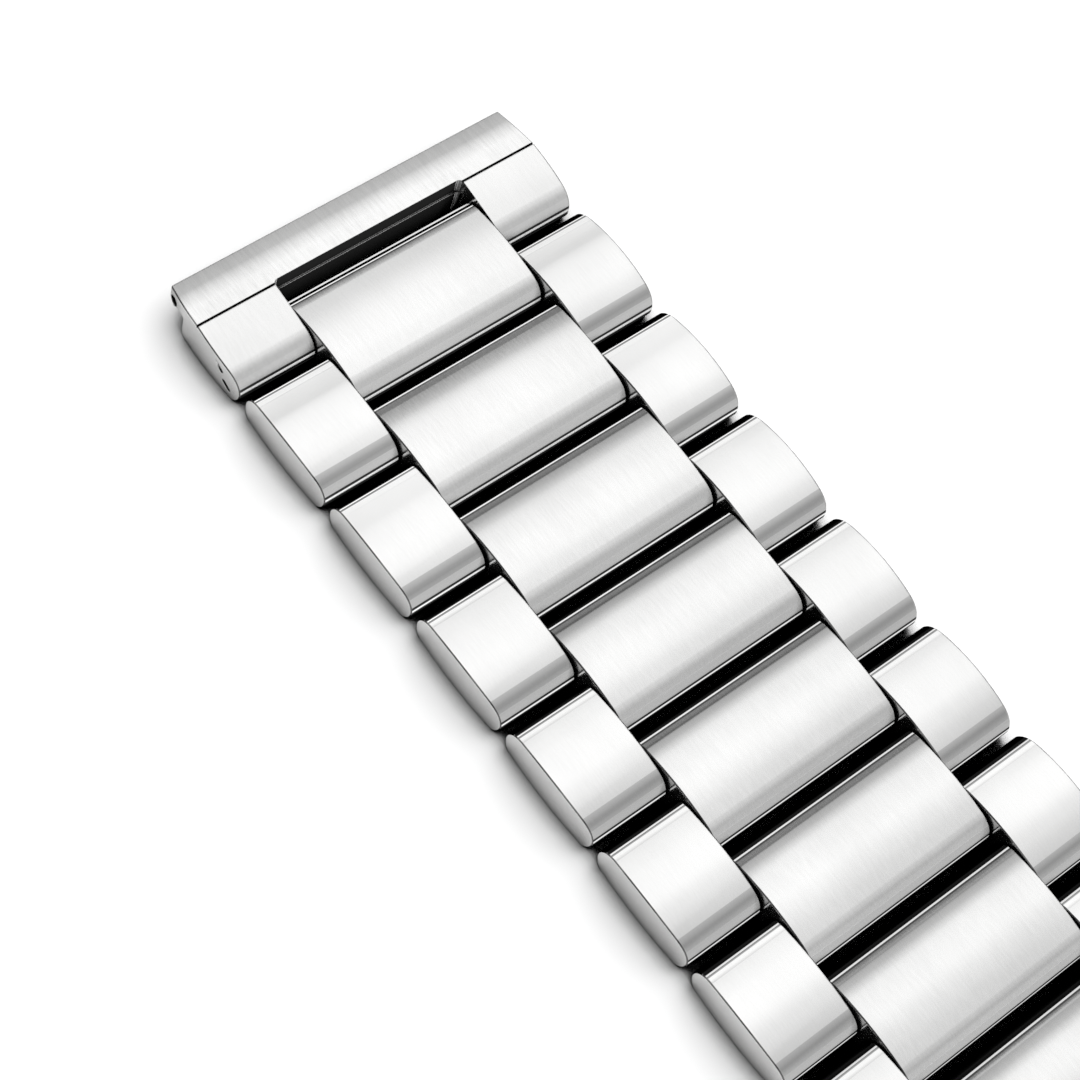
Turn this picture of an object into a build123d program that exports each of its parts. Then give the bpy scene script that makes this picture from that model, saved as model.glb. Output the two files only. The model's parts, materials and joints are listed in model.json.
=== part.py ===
from build123d import *
import os

os.makedirs("parts", exist_ok=True)

# A three-row steel watch bracelet, laid out flat with its clasp closed.
# X runs along the bracelet, from the end link of half A to the end link of half B.
# Y runs across it and Z is up. The origin is under the middle of the bracelet, on the table.

# Driving sizes of the strap, in millimetres
strap_width = 22.0
link_pitch = 7.28
link_gap = 0.46
link_height = 2.4
centre_width = 12.1
side_gap = 0.1
edge_bevel = 0.06
rows_a = 8
rows_b = 5

# Side outline of a link: a crown, a roll at each end and a round nose
crown_half = 2.34
crown_drop = 0.22
nose_edge_inset = 0.38
nose_edge_height = 1.85
nose_tip_height = 0.98
foot_inset = 0.42

# Bulging outer sides, drawn out to a place past the ends of every link, with their drop there
side_reach = 4.4
side_drop = 0.26
bar_side_drop = 0.6
side_tilt = 0.9
bar_corner_round = 0.35

# Link pins: tight in the outer links, running in the centre links, hidden on one side
pin_radius = 0.5
pin_height = 1.15
pin_clearance = 0.05
pin_skin = 1.2
pin_recess = 0.15
pin_tip_bevel = 0.12

# End link: a full-width bar that carries the spring bar, and two legs beside a pocket
bar_reach = 3.2
bar_height = 2.42
bar_crown = 0.09
bar_corner = 0.1
bar_front_height = 2.24
bar_front_lean = 0.12
bar_mid_height = 1.72
bar_chin_reach = 2.6
bar_chin_height = 1.25
scoop_reach = 2.1
scoop_height = 1.62
body_reach = 1.62
body_top = 1.5
body_toe = 0.25
groove_reach = 0.4
groove_width = 0.2
groove_depth = 0.2
leg_height = 2.6
pocket_reach = 0.6
pocket_corner = 0.3
ledge_depth = 0.12
ledge_height = 1.6
bar_bore_radius = 0.32
bar_bore_reach = 2.66
bar_bore_height = 1.72
slot_length = 0.75
slot_width = 0.26
slot_tilt = -34
slot_depth = 0.35
upper_slot_reach = 1.7
upper_slot_height = 1.62
lower_slot_reach = 2.4
lower_slot_height = 0.72

# Clasp cover: a shallow channel with an arched top
cover_length = 36.0
cover_wall = 1.0
cover_end_height = 3.6
cover_rise = 0.7
cover_ceiling = 3.1
cover_edge_round = 0.35
cover_line_depth = 0.12
cover_line_width = 0.24

# Spring bar that holds half A in the cover, with three positions to choose from
bar_inset = 1.5
bar_step = 2.0
bar_places = 3
barrel_radius = 1.15
barrel_clearance = 0.2
tube_radius = 0.75
tube_wall = 0.25
tube_clearance = 0.05
tube_end_gap = 0.6
tube_crimp = 0.15
tip_radius = 0.38
tip_clearance = 0.05
tip_shoulder_length = 1.0
tip_play = 0.05
tip_recess = 0.2
bar_spring_wire = 0.12
bar_spring_turns = 22

# Folding blades
hinge_inset = 1.5
hinge_height = 2.1
hinge_ear_radius = 1.5
hinge_plate_reach = 0.3
knuckle_radius = 0.85
clasp_pin_radius = 0.45
blade_half_width = 6.0
middle_thickness = 0.8
lower_thickness = 0.9
fold_inset = 13.5
fold_height = 1.05
fold_centre_half_width = 2.0
fold_side_gap = 0.2
fold_slot_clearance = 0.45
fold_edge_clearance = 0.25
neck_half_width = 4.0
neck_clearance = 0.5
fork_radius = 1.0
fork_clearance = 0.2

# Latch: a window in the middle blade, gripped from inside by the two buttons
window_half_width = 4.0
window_start = 8.4
window_end = 10.8
tongue_start = 7.6
latch_station = 9.6
latch_clearance = 0.1
button_length = 3.0
button_width = 1.4
button_proud = 1.0
button_height = 2.3
button_round = 0.4
flange_length = 3.8
flange_width = 1.5
flange_thickness = 0.7
arm_width = 1.4
arm_thickness = 0.7
arm_height = 2.6
leg_gap = 0.25
leg_thickness = 0.55
leg_bottom = 0.3
hook_height = 0.7
hook_length = 0.15
block_length = 1.6
block_width = 2.4
block_bottom = 0.9
guide_radius = 0.3
guide_length = 0.6
button_spring_radius = 0.5
button_spring_wire = 0.15
button_spring_height = 1.6
button_spring_turns = 3
spring_end_gap = 0.05
turn_steps = 24

# One overrun serves every cut
overrun = 1.0

# Worked-out sizes of a link
half_width = strap_width / 2
link_half = (link_pitch - link_gap) / 2
pin_reach = link_pitch / 4
centre_half = centre_width / 2
outer_inner_face = centre_half + side_gap
outer_width = half_width - outer_inner_face
outer_middle = outer_inner_face + outer_width / 2
shoulder_height = link_height - crown_drop
crown_radius = (crown_half**2 + crown_drop**2) / (2 * crown_drop)
nose_edge_half = link_half - nose_edge_inset
foot_half = link_half - foot_inset
running_radius = pin_radius + pin_clearance

# Places along X, first from the end link of half A, then moved so that X is zero half way
a_end_place = bar_reach
cover_start_place = a_end_place + rows_a * link_pitch + link_half + link_gap
cover_end_place = cover_start_place + cover_length
fork_place = cover_end_place + link_gap + barrel_radius
b_last_row_place = fork_place + barrel_radius + link_gap + link_half
b_end_place = b_last_row_place + rows_b * link_pitch
total_length = b_end_place + bar_reach
middle_place = total_length / 2

x_end_a = a_end_place - middle_place
x_end_b = b_end_place - middle_place
x_cover_start = cover_start_place - middle_place
x_cover_end = cover_end_place - middle_place
x_fork = fork_place - middle_place
x_bar = x_cover_start + bar_inset
x_hinge = x_cover_end - hinge_inset
x_fold = x_cover_start + fold_inset
x_latch = x_cover_start + latch_station


def side_plane(x, y, way):
    """Plane across Y: its first axis points to the clasp (way 1 or -1), its second one up."""
    return Plane(origin=(x, y, 0), x_dir=(way, 0, 0), z_dir=(0, -way, 0))


def link_end_lines(side):
    """Roll and nose at one end of the outline of a link, drawn in the line context in use."""
    TangentArc(
        (side * crown_half, shoulder_height),
        (side * nose_edge_half, nose_edge_height),
        tangent=(side * (crown_radius - crown_drop), -crown_half),
    )
    ThreePointArc(
        (side * nose_edge_half, nose_edge_height),
        (side * link_half, nose_tip_height),
        (side * foot_half, 0),
    )


def link_outline_lines():
    """Whole side outline of a link about its own middle."""
    ThreePointArc((-crown_half, shoulder_height), (0, link_height), (crown_half, shoulder_height))
    link_end_lines(1)
    link_end_lines(-1)
    Line((-foot_half, 0), (foot_half, 0))


def save(block, name):
    """Label a finished piece and write it under its own name."""
    block.part.label = name
    export_step(block.part, f"parts/{name}.step")


def add_link_body(x, low, high):
    """Add the side outline of a link across Y, from low to high."""
    with BuildSketch(side_plane(x, (low + high) / 2, 1)) as outline:
        with BuildLine():
            link_outline_lines()
        make_face()
    extrude(outline.sketch, amount=(high - low) / 2, both=True)


def trim_sides(x, way, start_drop):
    """Keep what lies between two sides that bulge in the middle of a link."""
    start_half = half_width - start_drop
    end_half = half_width - side_drop
    with BuildSketch(Plane(origin=(x, 0, 0), x_dir=(way, 0, 0), z_dir=(0, 0, 1))) as plan:
        with BuildLine():
            ThreePointArc((-side_reach, start_half), (0, half_width), (side_reach, end_half))
            Line((side_reach, end_half), (side_reach, -end_half))
            ThreePointArc((side_reach, -end_half), (0, -half_width), (-side_reach, -start_half))
            Line((-side_reach, -start_half), (-side_reach, start_half))
        make_face()
    extrude(plan.sketch, amount=bar_height + overrun, mode=Mode.INTERSECT)


def bevel_upper_edges(block):
    """Bevel the long upper edges of the side faces of a link; short corners stay sharp."""
    side_faces = block.faces().filter_by(lambda face: abs(face.normal_at().Y) > side_tilt)
    upper_edges = side_faces.edges().filter_by(lambda edge: edge.center().Z > nose_edge_height)
    chamfer(upper_edges.filter_by(lambda edge: edge.length > nose_edge_inset), edge_bevel)


def make_centre_link(x):
    """Wide link of the middle row, with a running bore at each end."""
    with BuildPart() as link:
        add_link_body(x, -centre_half, centre_half)
        bevel_upper_edges(link)
        with BuildSketch(side_plane(x, 0, 1)):
            with Locations((-pin_reach, pin_height), (pin_reach, pin_height)):
                Circle(running_radius)
        extrude(amount=centre_half, both=True, mode=Mode.SUBTRACT)
    return link


def make_outer_pair(x, way):
    """Two narrow links of one row; the pins stop inside the one on the plain side."""
    with BuildPart() as pair:
        add_link_body(x, outer_inner_face, half_width)
        add_link_body(x, -half_width, -outer_inner_face)
        trim_sides(x, way, side_drop)
        bevel_upper_edges(pair)
        with BuildSketch(side_plane(x, way * half_width, way)):
            with Locations((-pin_reach, pin_height), (pin_reach, pin_height)):
                Circle(pin_radius)
        extrude(amount=strap_width - pin_skin, mode=Mode.SUBTRACT)
    return pair


def make_link_pins(x, reaches, way):
    """Plain pins that lie across the strap, slightly below the open side."""
    with BuildPart() as pins:
        with BuildSketch(side_plane(x, way * (half_width - pin_recess), way)):
            with Locations([(reach, pin_height) for reach in reaches]):
                Circle(pin_radius)
        extrude(amount=strap_width - pin_skin - pin_recess)
        chamfer(pins.faces().filter_by(Axis.Y).edges(), pin_tip_bevel)
    return pins


def end_link_outline_lines():
    """Side outline of an end link: bar, groove line, leg, foot, front face, scoop and nose."""
    ThreePointArc(
        (bar_corner - bar_reach, bar_height),
        (-(bar_reach + groove_reach) / 2, bar_height + bar_crown),
        (-groove_reach, leg_height),
    )
    TangentArc(
        (crown_half, shoulder_height),
        (-groove_reach, leg_height),
        tangent=(crown_drop - crown_radius, crown_half),
    )
    link_end_lines(1)
    Polyline(
        (foot_half, 0),
        (body_toe - body_reach, 0),
        (-body_reach, body_toe),
        (-body_reach, body_top),
    )
    ThreePointArc(
        (-body_reach, body_top),
        (-scoop_reach, scoop_height),
        (-bar_chin_reach, bar_chin_height),
    )
    ThreePointArc(
        (-bar_chin_reach, bar_chin_height),
        (bar_front_lean - bar_reach, bar_mid_height),
        (-bar_reach, bar_front_height),
    )
    Line((-bar_reach, bar_front_height), (bar_corner - bar_reach, bar_height))


def make_end_link(x, way):
    """Solid end piece: spring-bar nose, full-width bar, and two legs around a pocket."""
    with BuildPart() as link:
        with BuildSketch(side_plane(x, 0, way)):
            with BuildLine():
                end_link_outline_lines()
            make_face()
        extrude(amount=half_width + overrun, both=True)
        trim_sides(x, way, bar_side_drop)
        bevel_upper_edges(link)

        # Rounded far corners of the bar, as seen from above
        with BuildSketch(Plane(origin=(x, 0, 0), x_dir=(way, 0, 0), z_dir=(0, 0, 1))):
            RectangleRounded(2 * bar_reach, strap_width - 2 * side_drop, bar_corner_round)
            with Locations((bar_corner_round + overrun, 0)):
                Rectangle(2 * (bar_reach + overrun), strap_width + overrun)
        extrude(amount=bar_height + overrun, mode=Mode.INTERSECT)

        # Pocket for the first centre link, open at the strap's side, with a ledge in its front wall
        for bottom, reach in ((ledge_height, pocket_reach), (0, pocket_reach - ledge_depth)):
            with BuildSketch(Plane(origin=(x, 0, bottom), x_dir=(way, 0, 0), z_dir=(0, 0, 1))):
                with Locations(((link_half + overrun - reach) / 2, 0)):
                    RectangleRounded(
                        link_half + overrun + reach, 2 * outer_inner_face, pocket_corner
                    )
            extrude(amount=bar_height, mode=Mode.SUBTRACT)

        # Groove between the bar and each leg
        with BuildSketch(side_plane(x, 0, way)):
            with BuildLine():
                Polyline(
                    (-groove_reach - groove_width / 2, leg_height + bar_crown),
                    (-groove_reach, leg_height - groove_depth),
                    (-groove_reach + groove_width / 2, leg_height + bar_crown),
                    close=True,
                )
            make_face()
        extrude(amount=half_width, both=True, mode=Mode.SUBTRACT)

        # Bore for the spring bar, right across the nose
        with BuildSketch(side_plane(x, 0, way)):
            with Locations((-bar_bore_reach, bar_bore_height)):
                Circle(bar_bore_radius)
        extrude(amount=half_width, both=True, mode=Mode.SUBTRACT)

        # Pin bore across both legs, and two small slanted slots on the plain side
        with BuildSketch(side_plane(x, way * half_width, way)):
            with Locations((pin_reach, pin_height)):
                Circle(pin_radius)
        extrude(amount=strap_width - pin_skin, mode=Mode.SUBTRACT)
        with BuildSketch(side_plane(x, -way * (half_width - slot_depth), way)):
            with Locations(
                (upper_slot_reach, upper_slot_height), (lower_slot_reach, lower_slot_height)
            ):
                SlotOverall(slot_length, slot_width, rotation=slot_tilt)
        extrude(amount=slot_depth, mode=Mode.SUBTRACT)
    return link


def make_strap_half(name, x_end, way, rows):
    """One half of the strap, from its end link towards the clasp."""
    save(make_end_link(x_end, way), f"end_link_{name}")
    save(make_link_pins(x_end, [pin_reach], way), f"end_link_pin_{name}")
    for row in range(1, rows + 1):
        x_outer = x_end + way * row * link_pitch
        x_centre = x_outer - way * link_pitch / 2
        save(make_centre_link(x_centre), f"centre_link_{name}{row}")
        save(make_outer_pair(x_outer, way), f"outer_links_{name}{row}")
        save(make_link_pins(x_outer, [-pin_reach, pin_reach], way), f"link_pins_{name}{row}")


make_strap_half("a", x_end_a, 1, rows_a)
make_strap_half("b", x_end_b, -1, rows_b)


# Clasp cover
inner_half = half_width - cover_wall
crown_x = (x_cover_start + x_cover_end) / 2
hole_places = [x_bar + place * bar_step for place in range(bar_places)]
bar_axis_height = pin_height
tip_hole_radius = tip_radius + tip_clearance

with BuildPart() as clasp_cover:
    with BuildSketch(side_plane(0, 0, 1)):
        with BuildLine():
            ThreePointArc(
                (x_cover_start, cover_end_height),
                (crown_x, cover_end_height + cover_rise),
                (x_hinge, hinge_height + hinge_ear_radius),
            )
            ThreePointArc(
                (x_hinge, hinge_height + hinge_ear_radius),
                (x_cover_end, hinge_height),
                (x_hinge, hinge_height - hinge_ear_radius),
            )
            Polyline(
                (x_hinge, hinge_height - hinge_ear_radius),
                (x_hinge, 0),
                (x_cover_start, 0),
                (x_cover_start, cover_end_height),
            )
        make_face()
    extrude(amount=half_width, both=True)
    top_edges = clasp_cover.faces().sort_by(Axis.Z)[-1].edges()
    fillet(top_edges.filter_by(lambda edge: abs(edge.center().Y) > inner_half), cover_edge_round)
    with BuildSketch(Plane.XY):
        with Locations((crown_x, 0)):
            Rectangle(cover_length + overrun, 2 * inner_half)
    extrude(amount=cover_ceiling, mode=Mode.SUBTRACT)
    with BuildSketch(Plane.XY.offset(cover_ceiling)):
        with Locations((x_hinge + hinge_plate_reach + hinge_inset, 0)):
            Rectangle(2 * hinge_inset, 2 * inner_half)
    extrude(amount=cover_end_height, mode=Mode.SUBTRACT)
    with BuildSketch(side_plane(0, 0, 1)):
        with Locations((x_hinge, hinge_height)):
            Circle(clasp_pin_radius)
        with Locations([(place, bar_axis_height) for place in hole_places]):
            Circle(tip_hole_radius)
    extrude(amount=half_width, both=True, mode=Mode.SUBTRACT)
    with BuildSketch(side_plane(x_latch, 0, 1)):
        with Locations((0, button_height)):
            RectangleRounded(
                button_length + 2 * latch_clearance,
                button_width + 2 * latch_clearance,
                button_round + latch_clearance,
            )
    extrude(amount=half_width, both=True, mode=Mode.SUBTRACT)

    # Two fine lines along the top, in line with the gaps beside the centre links
    for side in (-1, 1):
        with BuildSketch(side_plane(0, side * (centre_half + side_gap / 2), 1)):
            with BuildLine():
                ThreePointArc(
                    (x_cover_start, cover_end_height - cover_line_depth),
                    (crown_x, cover_end_height + cover_rise - cover_line_depth),
                    (x_hinge, hinge_height + hinge_ear_radius - cover_line_depth),
                )
                Polyline(
                    (x_hinge, hinge_height + hinge_ear_radius - cover_line_depth),
                    (x_cover_end, hinge_height + hinge_ear_radius - cover_line_depth),
                    (x_cover_end, cover_end_height + cover_rise + overrun),
                    (x_cover_start, cover_end_height + cover_rise + overrun),
                    (x_cover_start, cover_end_height - cover_line_depth),
                )
            make_face()
        extrude(amount=cover_line_width / 2, both=True, mode=Mode.SUBTRACT)
save(clasp_cover, "clasp_cover")

with BuildPart() as clasp_hinge_pin:
    with BuildSketch(side_plane(x_hinge, 0, 1)):
        with Locations((0, hinge_height)):
            Circle(clasp_pin_radius)
    extrude(amount=half_width - pin_recess, both=True)
    chamfer(clasp_hinge_pin.faces().filter_by(Axis.Y).edges(), pin_tip_bevel)
save(clasp_hinge_pin, "clasp_hinge_pin")

with BuildPart() as latch_block:
    with BuildSketch(Plane.XY.offset(block_bottom)):
        with Locations((x_latch, 0)):
            Rectangle(block_length, block_width)
    extrude(amount=cover_ceiling - block_bottom)
    with BuildSketch(side_plane(x_latch, 0, 1)):
        with Locations((0, button_spring_height)):
            Circle(guide_radius)
    extrude(amount=block_width / 2 + guide_length, both=True)
save(latch_block, "latch_block")


# Middle blade: a tube on the cover's hinge pin, a flat plate, two knuckles and a latch window
middle_bottom = hinge_height - knuckle_radius
clasp_running_radius = clasp_pin_radius + pin_clearance
x_tongue = x_cover_start + tongue_start
x_window = x_cover_start + (window_start + window_end) / 2
knuckle_inner = fold_centre_half_width + fold_side_gap
slot_half_length = fold_height + fold_slot_clearance

with BuildPart() as middle_blade:
    with BuildSketch(Plane.XY.offset(middle_bottom)):
        with Locations(((x_tongue + x_hinge) / 2, 0)):
            Rectangle(x_hinge - x_tongue, 2 * blade_half_width)
        with Locations((x_window, 0)):
            Rectangle(window_end - window_start, 2 * window_half_width, mode=Mode.SUBTRACT)
        with Locations((x_fold, 0)):
            Rectangle(2 * slot_half_length, 2 * knuckle_inner, mode=Mode.SUBTRACT)
    extrude(amount=middle_thickness)
    with BuildSketch(side_plane(x_hinge, 0, 1)):
        with Locations((0, hinge_height)):
            Circle(knuckle_radius)
    extrude(amount=inner_half - barrel_clearance, both=True)
    for side in (-1, 1):
        with BuildSketch(side_plane(x_fold, side * (knuckle_inner + blade_half_width) / 2, 1)):
            with Locations((0, fold_height)):
                Circle(fold_height)
        extrude(amount=(blade_half_width - knuckle_inner) / 2, both=True)
    with BuildSketch(side_plane(0, 0, 1)):
        with Locations((x_hinge, hinge_height)):
            Circle(clasp_running_radius)
        with Locations((x_fold, fold_height)):
            Circle(clasp_pin_radius)
    extrude(amount=half_width, both=True, mode=Mode.SUBTRACT)
save(middle_blade, "middle_blade")

with BuildPart() as blade_pin:
    with BuildSketch(side_plane(x_fold, 0, 1)):
        with Locations((0, fold_height)):
            Circle(clasp_pin_radius)
    extrude(amount=blade_half_width, both=True)
    chamfer(blade_pin.faces().filter_by(Axis.Y).edges(), pin_tip_bevel)
save(blade_pin, "blade_pin")


# Lower blade: a centre knuckle on the folding pin, a flat plate, a neck and the strap knuckle
x_plate = x_fold + fold_height + fold_edge_clearance
x_neck = x_cover_end - neck_clearance

with BuildPart() as lower_blade:
    with BuildSketch(Plane.XY):
        with Locations(((x_plate + x_neck) / 2, 0)):
            Rectangle(x_neck - x_plate, 2 * blade_half_width)
        with Locations(((x_fold + x_plate) / 2, 0)):
            Rectangle(x_plate - x_fold, 2 * fold_centre_half_width)
        with Locations(((x_neck + x_fork) / 2, 0)):
            Rectangle(x_fork - x_neck, 2 * neck_half_width)
    extrude(amount=lower_thickness)
    with BuildSketch(side_plane(x_fold, 0, 1)):
        with Locations((0, fold_height)):
            Circle(fold_height)
    extrude(amount=fold_centre_half_width, both=True)
    with BuildSketch(side_plane(x_fork, 0, 1)):
        with Locations((0, pin_height)):
            Circle(fork_radius)
    extrude(amount=neck_half_width, both=True)
    with BuildSketch(side_plane(0, 0, 1)):
        with Locations((x_fold, fold_height), (x_fork, pin_height)):
            Circle(clasp_running_radius)
    extrude(amount=half_width, both=True, mode=Mode.SUBTRACT)
save(lower_blade, "lower_blade")


# Clasp end link of half A: a tongue between the last outer links, a barrel on the spring bar
tube_bore_radius = tube_radius + tube_clearance
barrel_half = inner_half - barrel_clearance
x_last_a = x_end_a + (rows_a + 1 / 2) * link_pitch

with BuildPart() as clasp_end_link_a:
    add_link_body(x_last_a, -centre_half, centre_half)
    bevel_upper_edges(clasp_end_link_a)
    split(bisect_by=Plane(origin=(x_bar, 0, 0), z_dir=(1, 0, 0)), keep=Keep.BOTTOM)
    with BuildSketch(side_plane(x_bar, 0, 1)):
        with Locations((0, barrel_radius)):
            Circle(barrel_radius)
        with Locations((-(bar_inset - link_gap) / 2, barrel_radius)):
            Rectangle(bar_inset - link_gap, 2 * barrel_radius)
    extrude(amount=barrel_half, both=True)
    with BuildSketch(side_plane(0, 0, 1)):
        with Locations((x_last_a - pin_reach, pin_height)):
            Circle(running_radius)
        with Locations((x_bar, bar_axis_height)):
            Circle(tube_bore_radius)
    extrude(amount=half_width, both=True, mode=Mode.SUBTRACT)
save(clasp_end_link_a, "clasp_end_link_a")


# Clasp end link of half B: a fork around the lower blade's knuckle, a tongue on the other side
x_last_b = x_end_b - (rows_b + 1 / 2) * link_pitch
fork_inner = neck_half_width + fork_clearance
fork_slot_start = x_fork - barrel_radius - overrun
fork_slot_end = x_fork + fork_radius + fork_clearance

with BuildPart() as clasp_end_link_b:
    add_link_body(x_last_b, -centre_half, centre_half)
    bevel_upper_edges(clasp_end_link_b)
    split(bisect_by=Plane(origin=(x_fork, 0, 0), z_dir=(1, 0, 0)), keep=Keep.TOP)
    with BuildSketch(side_plane(x_fork, 0, 1)):
        with Locations((0, barrel_radius)):
            Circle(barrel_radius)
        with Locations((barrel_radius / 2, barrel_radius)):
            Rectangle(barrel_radius, 2 * barrel_radius)
    extrude(amount=half_width, both=True)
    with BuildSketch(Plane.XY):
        with Locations(((fork_slot_start + fork_slot_end) / 2, 0)):
            Rectangle(fork_slot_end - fork_slot_start, 2 * fork_inner)
    extrude(amount=link_height, mode=Mode.SUBTRACT)
    with BuildSketch(side_plane(0, 0, 1)):
        with Locations((x_last_b + pin_reach, pin_height)):
            Circle(running_radius)
    extrude(amount=centre_half, both=True, mode=Mode.SUBTRACT)
    with BuildSketch(side_plane(x_fork, -half_width, -1)):
        with Locations((0, pin_height)):
            Circle(clasp_pin_radius)
    extrude(amount=strap_width - pin_skin, mode=Mode.SUBTRACT)
save(clasp_end_link_b, "clasp_end_link_b")

with BuildPart() as strap_pin:
    with BuildSketch(side_plane(x_fork, -half_width + pin_recess, -1)):
        with Locations((0, pin_height)):
            Circle(clasp_pin_radius)
    extrude(amount=strap_width - pin_skin - pin_recess)
    chamfer(strap_pin.faces().filter_by(Axis.Y).edges(), pin_tip_bevel)
save(strap_pin, "strap_pin")


# Spring bar of half A: a tube with crimped ends, two sprung tips and the spring between them
tube_half = inner_half - tube_end_gap
tube_bore = tube_radius - tube_wall
shoulder_outer = tube_half - tube_crimp - tip_play
shoulder_inner = shoulder_outer - tip_shoulder_length
tip_end = half_width - tip_recess

with BuildPart() as spring_bar_tube:
    with BuildSketch(side_plane(x_bar, 0, 1)):
        with Locations((0, bar_axis_height)):
            Circle(tube_radius)
            Circle(tip_hole_radius, mode=Mode.SUBTRACT)
    extrude(amount=tube_half, both=True)
    with BuildSketch(side_plane(x_bar, 0, 1)):
        with Locations((0, bar_axis_height)):
            Circle(tube_bore)
    extrude(amount=tube_half - tube_crimp, both=True, mode=Mode.SUBTRACT)
save(spring_bar_tube, "spring_bar_tube")


def make_bar_tip(side):
    """Sprung tip of the spring bar: a shoulder inside the tube and a thin end in the cover."""
    with BuildPart() as tip:
        with BuildSketch(side_plane(x_bar, side * shoulder_inner, -side)):
            with Locations((0, bar_axis_height)):
                Circle(tube_bore - tip_clearance)
        extrude(amount=tip_shoulder_length)
        with BuildSketch(side_plane(x_bar, side * shoulder_inner, -side)):
            with Locations((0, bar_axis_height)):
                Circle(tip_radius)
        extrude(amount=tip_end - shoulder_inner)
        chamfer(tip.faces().sort_by(Axis.Y)[-1 if side > 0 else 0].edges(), pin_tip_bevel)
    return tip


def print_least_gap(path, wire, turns):
    """Print the least gap between the turns of a coil, measured on points of its path."""
    steps = turns * turn_steps
    points = [path @ (step / steps) for step in range(steps + 1)]
    least = min(
        (points[later] - points[first]).length
        for first in range(steps)
        for later in range(first + turn_steps // 2, min(first + 2 * turn_steps, steps + 1))
    )
    print("least gap between turns", round(least - wire, 3))


def make_coil(x, y_start, y_end, height, coil_radius, wire, turns):
    """Coil spring along Y between two places, as one unbroken wire."""
    length = y_end - y_start - wire
    with BuildPart() as coil:
        with BuildLine() as path:
            Helix(
                pitch=length / turns,
                height=length,
                radius=coil_radius - wire / 2,
                center=(x, y_start + wire / 2, height),
                direction=(0, 1, 0),
            )
        with BuildSketch(Plane(origin=path.line @ 0, z_dir=path.line % 0)):
            Circle(wire / 2)
        sweep()
    print_least_gap(path.line, wire, turns)
    return coil


save(make_bar_tip(-1), "spring_bar_tip_left")
save(make_bar_tip(1), "spring_bar_tip_right")
bar_spring_half = shoulder_inner - spring_end_gap
bar_spring = make_coil(
    x_bar,
    -bar_spring_half,
    bar_spring_half,
    bar_axis_height,
    tube_bore - tip_clearance,
    bar_spring_wire,
    bar_spring_turns,
)
save(bar_spring, "spring_bar_spring")


# Push buttons: head through the cover's wall, flange behind it, arm, leg and hook in the window
leg_outer = window_half_width - leg_gap
leg_inner = leg_outer - leg_thickness
flange_outer = inner_half - latch_clearance
flange_inner = flange_outer - flange_thickness
head_outer = half_width + button_proud
arm_top = arm_height + arm_thickness / 2


def make_button(side):
    """One push button of the clasp with its arm, leg and hook."""
    with BuildPart() as button:
        with BuildSketch(side_plane(x_latch, side * head_outer, side)):
            with Locations((0, button_height)):
                RectangleRounded(button_length, button_width, button_round)
        extrude(amount=head_outer - flange_inner)
        fillet(button.faces().sort_by(Axis.Y)[-1 if side > 0 else 0].edges(), button_round / 2)
        with BuildSketch(side_plane(x_latch, side * flange_outer, side)):
            with Locations((0, button_height)):
                Rectangle(flange_length, flange_width)
        extrude(amount=flange_thickness)
        with BuildSketch(Plane.XY.offset(arm_height - arm_thickness / 2)):
            with Locations((x_latch, side * (flange_inner + leg_inner) / 2)):
                Rectangle(arm_width, flange_inner - leg_inner)
        extrude(amount=arm_thickness)
        with BuildSketch(Plane.XY.offset(leg_bottom)):
            with Locations((x_latch, side * (leg_outer + leg_inner) / 2)):
                Rectangle(arm_width, leg_thickness)
        extrude(amount=arm_top - leg_bottom)
        with BuildSketch(Plane.XY.offset(leg_bottom)):
            with Locations((x_latch, side * (leg_outer + hook_length / 2))):
                Rectangle(arm_width, hook_length)
        extrude(amount=hook_height)
    return button


save(make_button(-1), "push_button_left")
save(make_button(1), "push_button_right")
for side, name in ((-1, "button_spring_left"), (1, "button_spring_right")):
    spring_ends = sorted(
        (
            side * (block_width / 2 + spring_end_gap),
            side * (leg_inner - spring_end_gap),
        )
    )
    button_spring = make_coil(
        x_latch,
        spring_ends[0],
        spring_ends[1],
        button_spring_height,
        button_spring_radius,
        button_spring_wire,
        button_spring_turns,
    )
    save(button_spring, name)
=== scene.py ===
import bmesh, bpy, json, math
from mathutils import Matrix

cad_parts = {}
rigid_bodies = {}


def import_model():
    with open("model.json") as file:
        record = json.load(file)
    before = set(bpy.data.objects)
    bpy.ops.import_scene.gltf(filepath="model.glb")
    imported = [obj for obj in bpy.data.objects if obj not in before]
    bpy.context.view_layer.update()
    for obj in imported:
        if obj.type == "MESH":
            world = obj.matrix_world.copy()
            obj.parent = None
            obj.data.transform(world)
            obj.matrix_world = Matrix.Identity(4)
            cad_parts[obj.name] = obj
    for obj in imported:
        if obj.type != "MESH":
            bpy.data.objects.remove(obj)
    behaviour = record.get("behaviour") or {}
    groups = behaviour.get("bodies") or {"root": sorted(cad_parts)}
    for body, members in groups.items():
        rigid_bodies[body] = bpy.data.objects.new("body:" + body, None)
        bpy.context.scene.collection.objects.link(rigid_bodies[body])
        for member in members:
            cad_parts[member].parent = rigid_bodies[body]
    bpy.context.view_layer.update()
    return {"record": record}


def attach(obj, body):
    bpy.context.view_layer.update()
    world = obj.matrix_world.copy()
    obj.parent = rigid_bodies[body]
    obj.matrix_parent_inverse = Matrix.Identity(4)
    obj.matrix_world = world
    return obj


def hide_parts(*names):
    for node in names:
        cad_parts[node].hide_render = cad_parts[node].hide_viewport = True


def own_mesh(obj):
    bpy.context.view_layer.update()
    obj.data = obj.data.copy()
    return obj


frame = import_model()


# Node trees

# Nearly all of a noise lies between these two values
NOISE_LOW, NOISE_HIGH = 0.3, 0.7
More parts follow.
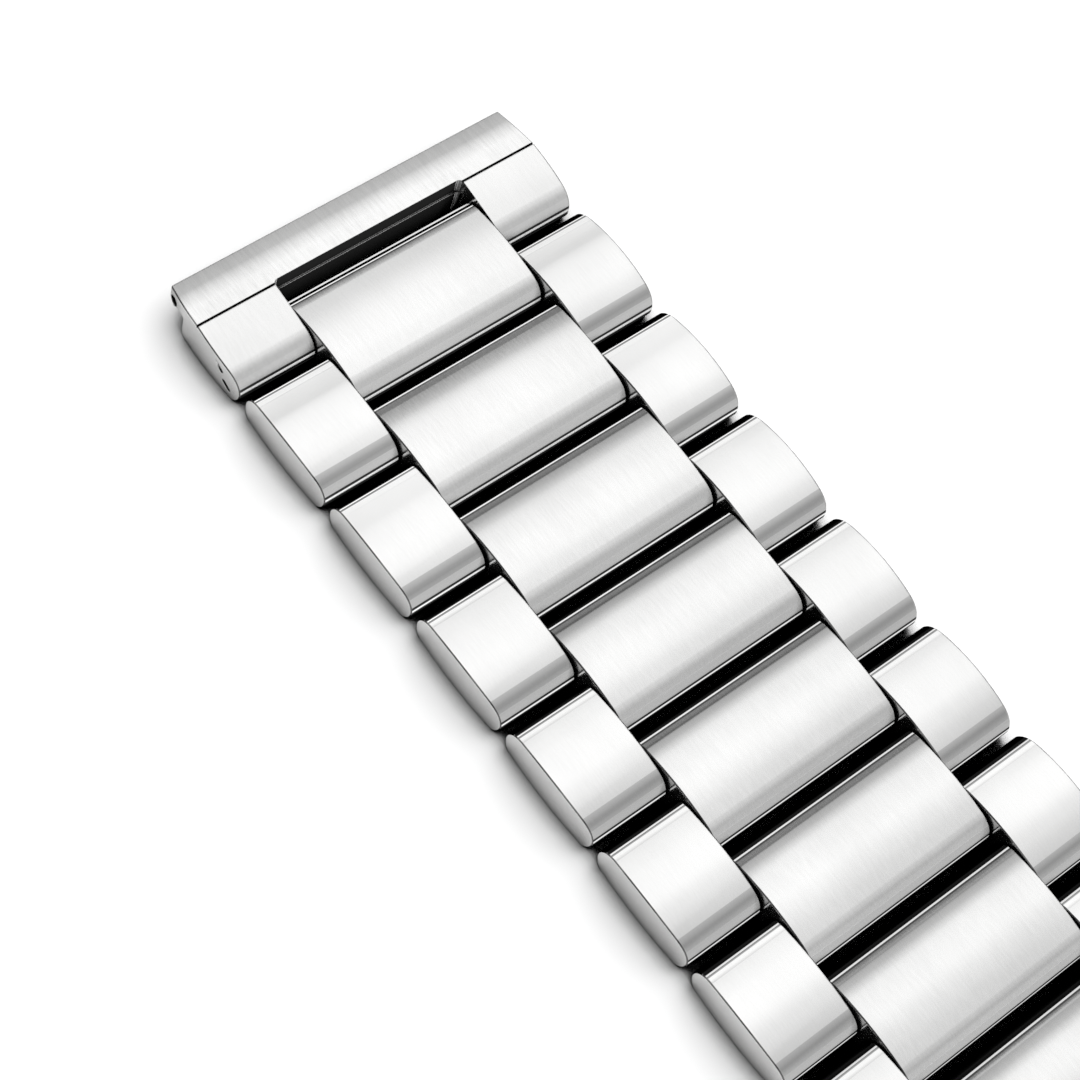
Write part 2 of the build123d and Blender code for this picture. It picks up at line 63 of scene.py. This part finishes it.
# Places of a Mix node's vector sockets, which share their names with its other sockets
VECTOR_A, VECTOR_B, VECTOR_RESULT = 4, 5, 1


class Tree:
    """The nodes and links of one material or world, with short ways to add to them."""

    def __init__(self, block):
        block.use_nodes = True
        self.nodes, self.links = block.node_tree.nodes, block.node_tree.links

    def put(self, source, target):
        """Link a socket, or set a number, on an input."""
        if isinstance(source, (int, float)):
            target.default_value = source
        else:
            self.links.new(source, target)

    def math(self, operation, first, *others):
        """The same operation from left to right over all values, or on the first alone."""
        for other in others or (0.0,):
            node = self.nodes.new("ShaderNodeMath")
            node.operation = operation
            self.put(first, node.inputs[0])
            self.put(other, node.inputs[1])
            first = node.outputs[0]
        return first

    def inverse(self, value):
        return self.math("SUBTRACT", 1.0, value)

    def remap(self, value, low, high, to_low=0.0, to_high=1.0):
        node = self.nodes.new("ShaderNodeMapRange")
        for name, number in (("From Min", low), ("From Max", high), ("To Min", to_low), ("To Max", to_high)):
            node.inputs[name].default_value = number
        self.links.new(value, node.inputs["Value"])
        return node.outputs["Result"]

    def mix(self, factor, first, second):
        node = self.nodes.new("ShaderNodeMix")
        self.put(factor, node.inputs["Factor"])
        self.put(first, node.inputs["A"])
        self.put(second, node.inputs["B"])
        return node.outputs["Result"]

    def curve(self, value, stops):
        """Piecewise straight curve through (place, level) stops between 0 and 1."""
        ramp = self.nodes.new("ShaderNodeValToRGB")
        self.links.new(value, ramp.inputs["Fac"])
        elements = ramp.color_ramp.elements
        while len(elements) < len(stops):
            elements.new(1.0)
        for element, (place, level) in zip(elements, stops):
            element.position = place
            element.color = (level, level, level, 1)
        return ramp.outputs["Color"]

    def noise(self, scale, detail=2.0, rough=0.5):
        """Noise fixed to the piece, with a number of cells per metre along each axis."""
        coord = self.nodes.new("ShaderNodeTexCoord")
        mapping = self.nodes.new("ShaderNodeMapping")
        noise = self.nodes.new("ShaderNodeTexNoise")
        mapping.inputs["Scale"].default_value = scale
        noise.inputs["Scale"].default_value = 1.0
        noise.inputs["Detail"].default_value = detail
        noise.inputs["Roughness"].default_value = rough
        self.links.new(coord.outputs["Object"], mapping.inputs["Vector"])
        self.links.new(mapping.outputs["Vector"], noise.inputs["Vector"])
        return noise.outputs["Fac"]

    def vary(self, noise, middle, reach):
        """A value that follows a noise, up to this far to either side of the middle."""
        return self.remap(noise, NOISE_LOW, NOISE_HIGH, middle - reach, middle + reach)

    def axes(self, output):
        """X, Y and Z of one output of the texture coordinates."""
        coord = self.nodes.new("ShaderNodeTexCoord")
        split = self.nodes.new("ShaderNodeSeparateXYZ")
        self.links.new(coord.outputs[output], split.inputs[0])
        return split.outputs

    def facing(self):
        """How far the surface faces along each axis of its piece.

        Along X and Z that is 0 to 1 from - to +, and along Y 0 to 1 from neither side to either side.
        """
        normal = self.axes("Normal")
        along, up = [self.remap(normal[axis], -1.0, 1.0) for axis in "XZ"]
        return along, self.math("ABSOLUTE", normal["Y"]), up

    def distance(self):
        """Distance along X from the middle of the bracelet, in metres, fixed to the piece."""
        return self.math("ABSOLUTE", self.axes("Object")["X"])

    def to_world(self, direction):
        """A direction of the piece, carried over to the world."""
        turn = self.nodes.new("ShaderNodeVectorTransform")
        turn.vector_type = "VECTOR"
        turn.convert_from = "OBJECT"
        turn.convert_to = "WORLD"
        turn.inputs["Vector"].default_value = direction
        return turn.outputs["Vector"]

    def lean(self, normal, target, factor):
        """The normal, turned towards a target direction."""
        blend = self.nodes.new("ShaderNodeMix")
        blend.data_type = "VECTOR"
        self.links.new(factor, blend.inputs["Factor"])
        self.links.new(normal, blend.inputs[VECTOR_A])
        self.links.new(target, blend.inputs[VECTOR_B])
        unit = self.nodes.new("ShaderNodeVectorMath")
        unit.operation = "NORMALIZE"
        self.links.new(blend.outputs[VECTOR_RESULT], unit.inputs[0])
        return unit.outputs["Vector"]

    def openness(self, reach, samples, own=False):
        """0 deep in a gap to 1 in the open, over a reach in metres, among all pieces or in its own."""
        node = self.nodes.new("ShaderNodeAmbientOcclusion")
        node.samples = samples
        node.only_local = own
        node.inputs["Distance"].default_value = reach
        return node.outputs["AO"]

    def grey(self, level, blue=0.995):
        """A grey of this level, with so much of it in blue."""
        colour = self.nodes.new("ShaderNodeCombineColor")
        self.put(level, colour.inputs["Red"])
        self.put(level, colour.inputs["Green"])
        self.put(self.math("MULTIPLY", level, blue), colour.inputs["Blue"])
        return colour.outputs["Color"]


def new_material(name):
    material = bpy.data.materials.new(name)
    tree = Tree(material)
    return material, tree, tree.nodes["Principled BSDF"]


# Steel

# Painted reflection and shade of a link over its facing along X, from -1 at the nose at its start to 1 at
# the one at its end.
# Both ends of the brushed top get a painted dark edge line and a painted highlight on a thin ground lip; the
# noses are painted black shade, the start nose of the first centre link a painted light reflection, and the
# rolls painted grey reflections.
NOSE_PAINTED_SHADE = [(-1.0, 0.02)]
OPEN_NOSE = [(-1.0, 0.9), (-0.62, 0.9), (-0.6, 0.02)]
TOP_PAINTED_REFLECTION = [(-0.53, 0.02), (-0.515, 1.0), (-0.47, 1.0), (-0.455, 0.35), (-0.41, 0.35), (-0.385, 1.0)]
SOFT_ROLL_PAINTED_REFLECTION = [(0.1, 1.0), (0.18, 0.94), (0.21, 1.02), (0.4, 0.98), (0.6, 1.0)]
DEEP_ROLL_PAINTED_REFLECTION = [(0.04, 1.0), (0.1, 0.98), (0.13, 0.93), (0.155, 0.85), (0.185, 0.76), (0.25, 0.69),
             (0.42, 0.62), (0.52, 0.66), (0.63, 0.85), (0.8, 1.0)]
END_PAINTED_REFLECTION = [(0.92, 1.0), (0.93, 0.05), (0.965, 0.05), (0.975, 1.05), (0.993, 1.05), (0.998, 0.03)]
# How far the normal leans to the ceiling, over the same facing
OPEN_NOSE_LEAN = [(-1.0, 0.9), (-0.62, 0.9), (-0.6, 0.0)]
LIP_LEAN = [(-0.53, 0.0), (-0.515, 1.0), (-0.47, 1.0), (-0.455, 0.0)]
GREY_ROLL_LEAN = [(-0.44, 0.46), (-0.3, 0.44), (-0.185, 0.35), (-0.05, 0.0)]
LIGHT_ROLL_LEAN = [(-0.44, 0.7), (-0.2, 0.5), (-0.1, 0.0), (0.02, 0.0), (0.08, 0.35), (0.17, 0.4),
                   (0.2, 0.3), (0.3, 0.0)]
END_LEAN = [(0.5, 0.0), (0.64, 0.3), (0.77, 0.5), (0.92, 0.62), (0.965, 0.7), (0.975, 1.0),
            (0.993, 1.0), (0.998, 0.7)]
CEILING = (0.1, 0.0, 1.0)
# Painted shade: how grey the start of the top gets on the rows nearer the clasp, over the same facing
CENTRE_PAINTED_DUSK = [(-0.34, 1.0), (-0.3, 0.9), (-0.27, 0.5), (-0.2, 0.42), (-0.163, 0.41), (-0.148, 0.54),
               (-0.142, 0.66), (-0.137, 0.77), (-0.13, 0.85), (-0.12, 0.9), (-0.1, 0.93), (-0.05, 0.96),
               (0.0, 1.0)]
OUTER_PAINTED_DUSK = [(-0.3, 1.0), (-0.25, 0.75), (-0.185, 0.8), (-0.165, 0.88), (-0.14, 0.95), (-0.1, 1.0)]
# Painted reflection levels, normal lean and painted dusk shade of each kind of link
CENTRE_LOOK = (
    NOSE_PAINTED_SHADE + TOP_PAINTED_REFLECTION + SOFT_ROLL_PAINTED_REFLECTION + END_PAINTED_REFLECTION,
    LIP_LEAN + END_LEAN,
    CENTRE_PAINTED_DUSK,
)
FIRST_LOOK = (
    OPEN_NOSE + TOP_PAINTED_REFLECTION + SOFT_ROLL_PAINTED_REFLECTION + END_PAINTED_REFLECTION,
    OPEN_NOSE_LEAN + LIP_LEAN + GREY_ROLL_LEAN + END_LEAN,
    CENTRE_PAINTED_DUSK,
)
OUTER_LOOK = (
    NOSE_PAINTED_SHADE + TOP_PAINTED_REFLECTION + DEEP_ROLL_PAINTED_REFLECTION + END_PAINTED_REFLECTION,
    LIP_LEAN + LIGHT_ROLL_LEAN + END_LEAN,
    OUTER_PAINTED_DUSK,
)

# Distance from the middle of the bracelet, in metres, over which the painted dusk shade comes in and the
# bars reach
PAINTED_DUSK_REACH = (0.059, 0.051)
BAR_REACH = (0.067, 0.074)
# Painted shade, lean and share of the streaks over the bar of an end link, with its flat far third
BAR_PAINTED_SHADE = [(0.0, 1.0), (0.71, 1.0), (0.78, 0.88), (0.86, 0.72), (1.0, 0.62)]
BAR_LEAN = [(0.0, 0.0), (0.56, 0.0), (0.575, 0.6), (0.72, 0.6), (0.85, 0.0), (1.0, 0.0)]
BAR_GRAIN = [(0.0, 0.4), (0.56, 0.4), (0.575, 1.0), (1.0, 1.0)]

# Facing at which the edge to a side (painted dark line), a side (painted shade) and a flat top (kept clear
# of painted gap shade) each start and are complete
SIDE_EDGE = (0.35, 0.6)
SIDE_FACE = (0.85, 0.95)
FLAT_TOP = (0.96, 0.98)
# Facing up to which a face is painted dark shade as part of the underside, and from which it isn't, then
# both levels
UNDERSIDE_PAINTED_SHADE = (0.47, 0.49, 0.03, 1.0)
# Lean from which the painted gap shade darkens a ground edge less, and from which not at all
GROUND_EDGE = (0.8, 0.95)
# Level of the painted dark line along the edge to a side, then the radius and samples of the rounded edges
EDGE_PAINTED_SHADE = 0.2
EDGE_RADIUS, EDGE_SAMPLES = 0.00009, 4

# How far the steel looks around itself for gaps to paint black shade in, and an end link for its own slots
# and pocket, in metres
GAP_REACH, GAP_SAMPLES = 0.0012, 4
SLOT_REACH, SLOT_SAMPLES = 0.0008, 8
# Openness up to which a gap is painted black shade, and from which it is plain
PAINTED_GAP_SHADE = (0.12, 0.45)
PAINTED_WIDE_GAP_SHADE = (0.3, 0.6)
# The same for a slot, painted black shade too, then its level and the plain one
PAINTED_SLOT_SHADE = (0.45, 0.7, 0.02, 1.0)

# Width of a streak and depth of a scratch, in metres, and how many times as long as wide a streak is
STREAK, WIDE_STREAK = 0.00011, 0.00018
STREAK_STRETCH = 10.0
SCRATCH_DEPTH, SCRATCH_STRENGTH = 0.000004, 0.25
# Cells per metre, and the detail and roughness of the noise for all but the clouds
CLOUDS = (150.0, 220.0, 220.0)
SMUDGES = (900.0, 900.0, 900.0)
FINE_NOISE = (3.0, 0.6)
# How far the level goes up and down with the clouds and the smudges, and the roughness with the streaks
CLOUD_TONE, SMUDGE_TONE, STREAK_ROUGH = 0.03, 0.02, 0.03
# The same for the roughness with the smudges, as a share of it
SMUDGE_ROUGH = 0.3
BRUSHED_ANISOTROPY = 0.6
BRUSHED_TANGENT = (0.0, 0.7, 0.7)


def over_facing(stops):
    return [((facing + 1.0) / 2.0, level) for facing, level in stops]


def brushed_normal(tree, streaks):
    """The normal with fine scratches and slightly rounded edges."""
    rounded = tree.nodes.new("ShaderNodeBevel")
    rounded.samples = EDGE_SAMPLES
    rounded.inputs["Radius"].default_value = EDGE_RADIUS
    bump = tree.nodes.new("ShaderNodeBump")
    bump.inputs["Strength"].default_value = SCRATCH_STRENGTH
    bump.inputs["Distance"].default_value = SCRATCH_DEPTH
    tree.put(streaks, bump.inputs["Height"])
    tree.put(rounded.outputs["Normal"], bump.inputs["Normal"])
    return bump.outputs["Normal"]


def brushed_steel(name, level, side_painted_shade, rough, grain, look=None, streak=STREAK, gap=PAINTED_GAP_SHADE, slots=False):
    """Steel brushed along X, with plainer sides in painted shade, painted dark edge lines, painted
    reflections and shade from the look, painted black shade in gaps and, where asked for, in slots.
    """
    material, tree, shader = new_material(name)
    streaks = tree.noise((1.0 / (STREAK_STRETCH * streak), 1.0 / streak, 1.0 / streak), *FINE_NOISE)
    clouds = tree.noise(CLOUDS)
    facing_x, facing_y, facing_z = tree.facing()
    openness = tree.openness(GAP_REACH, GAP_SAMPLES)
    side = tree.remap(facing_y, *SIDE_FACE)
    edge = tree.remap(facing_y, *SIDE_EDGE)
    bar = tree.remap(tree.distance(), *BAR_REACH)
    # Painted shade on the side faces and a painted dark line along their edges
    tone = tree.mix(side, tree.mix(edge, level, EDGE_PAINTED_SHADE), side_painted_shade)
    streak_tone = tree.math("MULTIPLY", tree.vary(streaks, 0.0, 0.5 * grain), tree.curve(bar, BAR_GRAIN))
    tone = tree.math("ADD", tone, streak_tone, tree.vary(clouds, 0.0, CLOUD_TONE))
    normal = brushed_normal(tree, streaks)
    if look:
        # Painted reflections and shade over the facing along X, painted shade on the bar and painted dusk on
        # the rows nearer the clasp
        painted_tones, leans, painted_dusks = [over_facing(stops) for stops in look]
        painted_dusk = tree.mix(tree.remap(tree.distance(), *PAINTED_DUSK_REACH), 1.0, tree.curve(facing_x, painted_dusks))
        tone = tree.math("MULTIPLY", tone, tree.curve(facing_x, painted_tones), tree.remap(facing_z, *UNDERSIDE_PAINTED_SHADE),
                         tree.curve(bar, BAR_PAINTED_SHADE), painted_dusk)
        turned_up = tree.math("MAXIMUM", tree.curve(facing_x, leans), tree.curve(bar, BAR_LEAN))
        turned_up = tree.math("MULTIPLY", turned_up, tree.inverse(side))
        normal = tree.lean(normal, tree.to_world(CEILING), turned_up)
        # Ground lips and flat tops are kept clear of the painted gap shade
        openness = tree.math("MAXIMUM", openness, tree.remap(turned_up, *GROUND_EDGE),
                             tree.remap(facing_z, *FLAT_TOP))
    # Painted black shade in gaps between the pieces
    tone = tree.math("MULTIPLY", tone, tree.remap(openness, *gap))
    if slots:
        # Painted black shade in the end link's own slots and pocket
        own = tree.openness(SLOT_REACH, SLOT_SAMPLES, own=True)
        tone = tree.math("MULTIPLY", tone, tree.remap(own, *PAINTED_SLOT_SHADE))
    colour = tree.grey(tone)
    tree.put(colour, shader.inputs["Base Color"])
    tree.put(colour, shader.inputs["Specular Tint"])
    tree.put(1.0, shader.inputs["Metallic"])
    tree.put(tree.vary(streaks, rough, STREAK_ROUGH), shader.inputs["Roughness"])
    tree.put(BRUSHED_ANISOTROPY, shader.inputs["Anisotropic"])
    tree.put(tree.to_world(BRUSHED_TANGENT), shader.inputs["Tangent"])
    tree.put(normal, shader.inputs["Normal"])
    return material


def polished_steel(name, level, rough):
    """Steel ground smooth, with faint smudges and painted black shade in gaps."""
    material, tree, shader = new_material(name)
    smudge = tree.noise(SMUDGES, *FINE_NOISE)
    tone = tree.math("ADD", level, tree.vary(smudge, 0.0, SMUDGE_TONE))
    # Painted black shade in gaps between the pieces
    tone = tree.math("MULTIPLY", tone, tree.remap(tree.openness(GAP_REACH, GAP_SAMPLES), *PAINTED_GAP_SHADE))
    tree.put(tree.grey(tone), shader.inputs["Base Color"])
    tree.put(1.0, shader.inputs["Metallic"])
    tree.put(tree.vary(smudge, rough, SMUDGE_ROUGH * rough), shader.inputs["Roughness"])
    return material


# Level, painted shade level of the side faces, roughness, strength of the streaks, then a painted reflection
# look and the rest
BRUSHED = {
    "link_steel": (0.95, 0.8, 0.2, 0.22, CENTRE_LOOK),
    "outer_steel": (0.96, 0.8, 0.17, 0.1, OUTER_LOOK),
    "first_link_painted_light_steel": (0.95, 0.8, 0.2, 0.22, FIRST_LOOK),
    "end_steel": (0.95, 0.8, 0.2, 0.16, CENTRE_LOOK, WIDE_STREAK, PAINTED_WIDE_GAP_SHADE, True),
    "clasp_link_steel": (0.93, 0.8, 0.2, 0.22),
    "cover_steel": (0.93, 0.7, 0.22, 0.3),
    "blade_steel": (0.85, 0.7, 0.3, 0.15),
}
# Level and roughness
POLISHED = {
    "pin_steel": (0.8, 0.16),
    "button_steel": (0.86, 0.12),
    "spring_steel": (0.6, 0.3),
}
# Pieces with a steel of their own, by how their names start, several differing from their slot's steel only
# or partly in painted reflections and shade; the others have the steel of their slot
OWN_STEEL = {
    "outer_links": "outer_steel",
    "centre_link_a1": "first_link_painted_light_steel",
    "end_link_a": "end_steel",
    "end_link_b": "end_steel",
    "clasp_end_link": "clasp_link_steel",
}
steel = {name: brushed_steel(name, *values) for name, values in BRUSHED.items()}
steel.update({name: polished_steel(name, *values) for name, values in POLISHED.items()})
for part in frame["record"]["subparts"]:
    own = [kind for start, kind in OWN_STEEL.items() if part["node"].startswith(start)]
    kind = own[0] if own else part["material_slot"]
    for slot in bpy.data.objects[part["node"]].material_slots:
        slot.material = steel[kind]


# Springs

# Node of each coil, its side, the joint that presses it together and how far that moves, in metres
SPRINGS = [
    ("button_spring_left", -1, "push_button_left_press", 0.0008),
    ("button_spring_right", 1, "push_button_right_press", 0.0008),
    ("spring_bar_spring", -1, "spring_bar_tip_left_press", 0.001),
    ("spring_bar_spring", 1, "spring_bar_tip_right_press", 0.001),
]


def shortening_coil(node, side, joint, travel):
    """The part of a CAD coil on one side of the middle, as a piece of its own on the clasp cover, named
    after the joint that presses it.
    """
    mesh = bpy.data.objects[node].data.copy()
    shape = bmesh.new()
    shape.from_mesh(mesh)
    everything = shape.verts[:] + shape.edges[:] + shape.faces[:]
    cut = bmesh.ops.bisect_plane(shape, geom=everything, plane_co=(0, 0, 0), plane_no=(0, side, 0),
                                 clear_inner=True)
    cut_edges = [item for item in cut["geom_cut"] if isinstance(item, bmesh.types.BMEdge)]
    bmesh.ops.holes_fill(shape, edges=cut_edges)
    shape.to_mesh(mesh)
    shape.free()
    coil = bpy.data.objects.new(joint.replace("press", "coil"), mesh)
    bpy.context.collection.objects.link(coil)
    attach(coil, "clasp_cover")
    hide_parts(node)
    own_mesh(coil)


for spring in SPRINGS:
    shortening_coil(*spring)


# Floor

# In metres; the drop keeps it apart from the underside, and the reach is how far it looks for the links to
# paint shadow under and beside them
FLOOR_SIZE = 4.0
FLOOR_DROP = 0.00002
FLOOR_REACH, FLOOR_SAMPLES = 0.0024, 12
# Openness up to which the floor is painted black shadow and from which it is plain, then both levels
FLOOR_PAINTED_SHADOW = (0.45, 0.65, 0.0, 0.93)
FLOOR_ROUGH = 0.9
bpy.ops.mesh.primitive_plane_add(size=FLOOR_SIZE, location=(0, 0, -FLOOR_DROP))
floor = bpy.context.object
floor.name = "floor"
material, tree, shader = new_material("floor")
# Painted shadow on the floor under and beside the links
painted_shadow = tree.remap(tree.openness(FLOOR_REACH, FLOOR_SAMPLES), *FLOOR_PAINTED_SHADOW)
tree.put(tree.grey(painted_shadow, 1.0), shader.inputs["Base Color"])
tree.put(FLOOR_ROUGH, shader.inputs["Roughness"])
tree.put(0.0, shader.inputs["Specular IOR Level"])
floor.data.materials.append(material)


# Studio

# Level of the walls and ceiling over the angle from straight up towards +X, in degrees
SKY = [(-90, 0.2), (-50, 0.2), (-43, 0.2), (-41, 0.21), (-39, 0.26), (-37, 0.44), (-35, 0.66), (-33, 0.84),
       (-31, 0.93), (-28, 0.97), (-22, 1.0), (-13, 1.03), (-5, 1.03), (-1, 0.96), (3, 0.88), (5.5, 0.83),
       (14, 0.74), (24, 0.64), (34, 0.55), (44, 0.47), (50, 0.47), (60, 0.54), (90, 0.8)]
# Dark walls to both sides of the strap: where they start and end along Y, and how much they darken there
NEAR_WALL = (-0.72, -0.8, 0.0, 0.95)
FAR_WALL = (0.74, 0.84, 0.0, 0.9)
# White band around the horizon: where it starts and stops fading along Z, and how much it covers there
HORIZON = (0.2, 0.3, 1.0, 0.0)
SUN_ENERGY = 2.3
SUN_SPREAD, SUN_TURN = 75, (-34, -6, 0)
world = bpy.data.worlds.new("studio")
bpy.context.scene.world = world
tree = Tree(world)
direction = tree.axes("Generated")
angle = tree.math("ARCTAN2", direction["X"], direction["Z"])
place = tree.math("ADD", tree.math("DIVIDE", angle, math.pi), 0.5)
sky = tree.curve(place, [(degrees / 180 + 0.5, level) for degrees, level in SKY])
walls = tree.math("ADD", tree.remap(direction["Y"], *NEAR_WALL), tree.remap(direction["Y"], *FAR_WALL))
horizon = tree.remap(direction["Z"], *HORIZON)
sky = tree.math("MULTIPLY", sky, tree.inverse(walls), tree.inverse(horizon))
tree.put(tree.math("ADD", sky, horizon), tree.nodes["Background"].inputs["Color"])
tree.put(1.0, tree.nodes["Background"].inputs["Strength"])

# The sun gives the soft shadow, on top of the painted shadow near the links, and the steel doesn't mirror it
sun_data = bpy.data.lights.new("sun", "SUN")
sun_data.energy = SUN_ENERGY
sun_data.angle = math.radians(SUN_SPREAD)
sun = bpy.data.objects.new("sun", sun_data)
sun.rotation_euler = [math.radians(turn) for turn in SUN_TURN]
sun.visible_glossy = False
bpy.context.collection.objects.link(sun)


# Camera

# Fitted to the corners of the links in the photo, in metres and degrees; sensor and lens in mm
CAMERA_PLACE = (-0.0170478, -0.0595062, 0.1206435)
CAMERA_TURN = (27.2692, -10.7599, 51.8165)
SENSOR, LENS = 36.0, 90.5106
NEAREST = 0.01
cam_data = bpy.data.cameras.new("camera")
cam_data.sensor_width = SENSOR
cam_data.lens = LENS
cam_data.clip_start = NEAREST
cam = bpy.data.objects.new("camera", cam_data)
cam.location = CAMERA_PLACE
cam.rotation_euler = [math.radians(turn) for turn in CAMERA_TURN]
bpy.context.collection.objects.link(cam)
bpy.context.scene.camera = cam
bpy.context.scene.view_settings.view_transform = "Standard"
